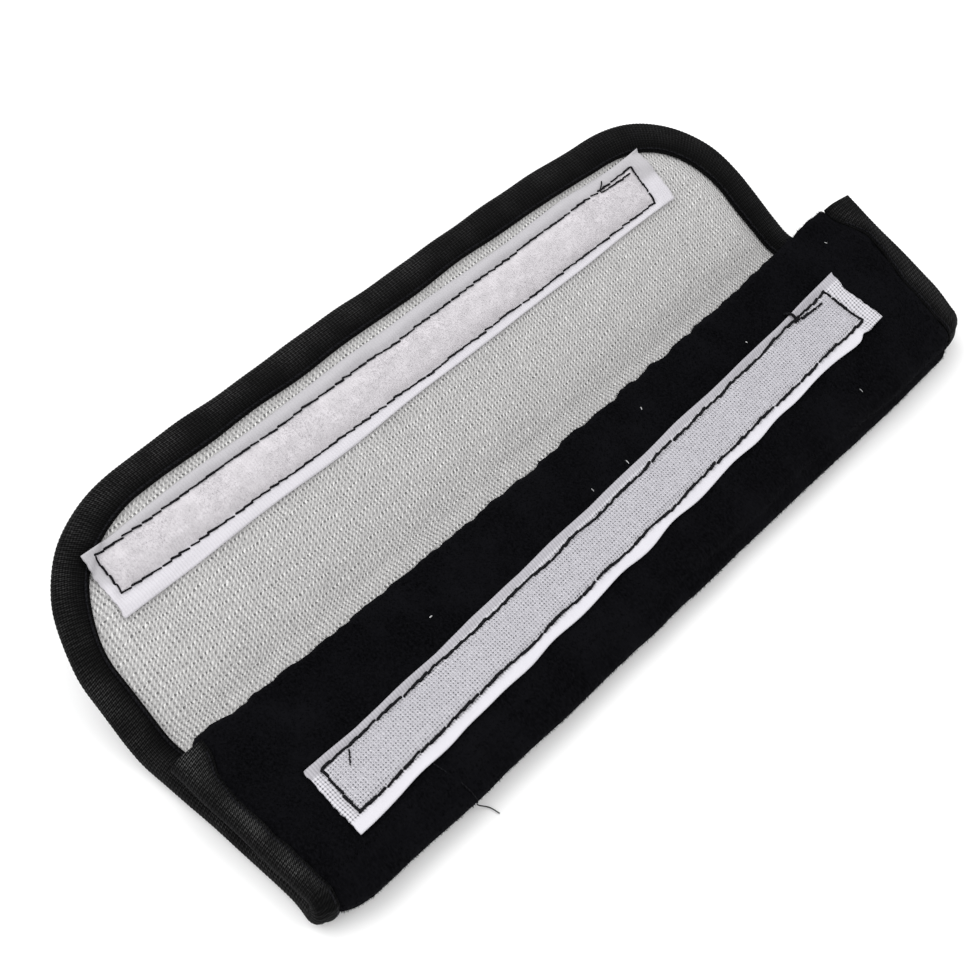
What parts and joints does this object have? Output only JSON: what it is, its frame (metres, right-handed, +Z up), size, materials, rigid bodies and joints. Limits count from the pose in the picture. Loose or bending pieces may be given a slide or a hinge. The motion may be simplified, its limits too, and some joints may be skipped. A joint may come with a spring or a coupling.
{
  "type": "seat belt shoulder pad",
  "caption": "Soft wrap pad for a car's shoulder belt: a plush, foam and mesh sheet with a bound edge, a folded flap and hook-and-loop strips.",
  "frame": {"origin": "middle of the ground that the folded pad covers, on the surface it rests on", "axes": "+X along the pad, +Y from the folded edge towards the free outer panel, +Z up"},
  "size_m": [0.262, 0.119, 0.0374],
  "materials": {
    "plush": "short soft plush, matt",
    "foam": "open-cell foam sheet",
    "lining": "fine knitted mesh",
    "binding": "ribbed woven tape",
    "thread": "spun sewing thread",
    "loop": "napped loop strip with a smooth selvage",
    "hook": "woven hook strip with a ribbed selvage"
  },
  "bodies": {
    "root": {"plush_cover": "plush", "foam_core": "foam", "knit_lining": "lining", "edge_binding": "binding", "binding_seam_lining_side": "thread", "binding_seam_plush_side": "thread", "loop_strip": "loop", "hook_strip": "hook", "loop_strip_stitching": "thread", "hook_strip_stitching": "thread"}
  },
  "joints": []
}
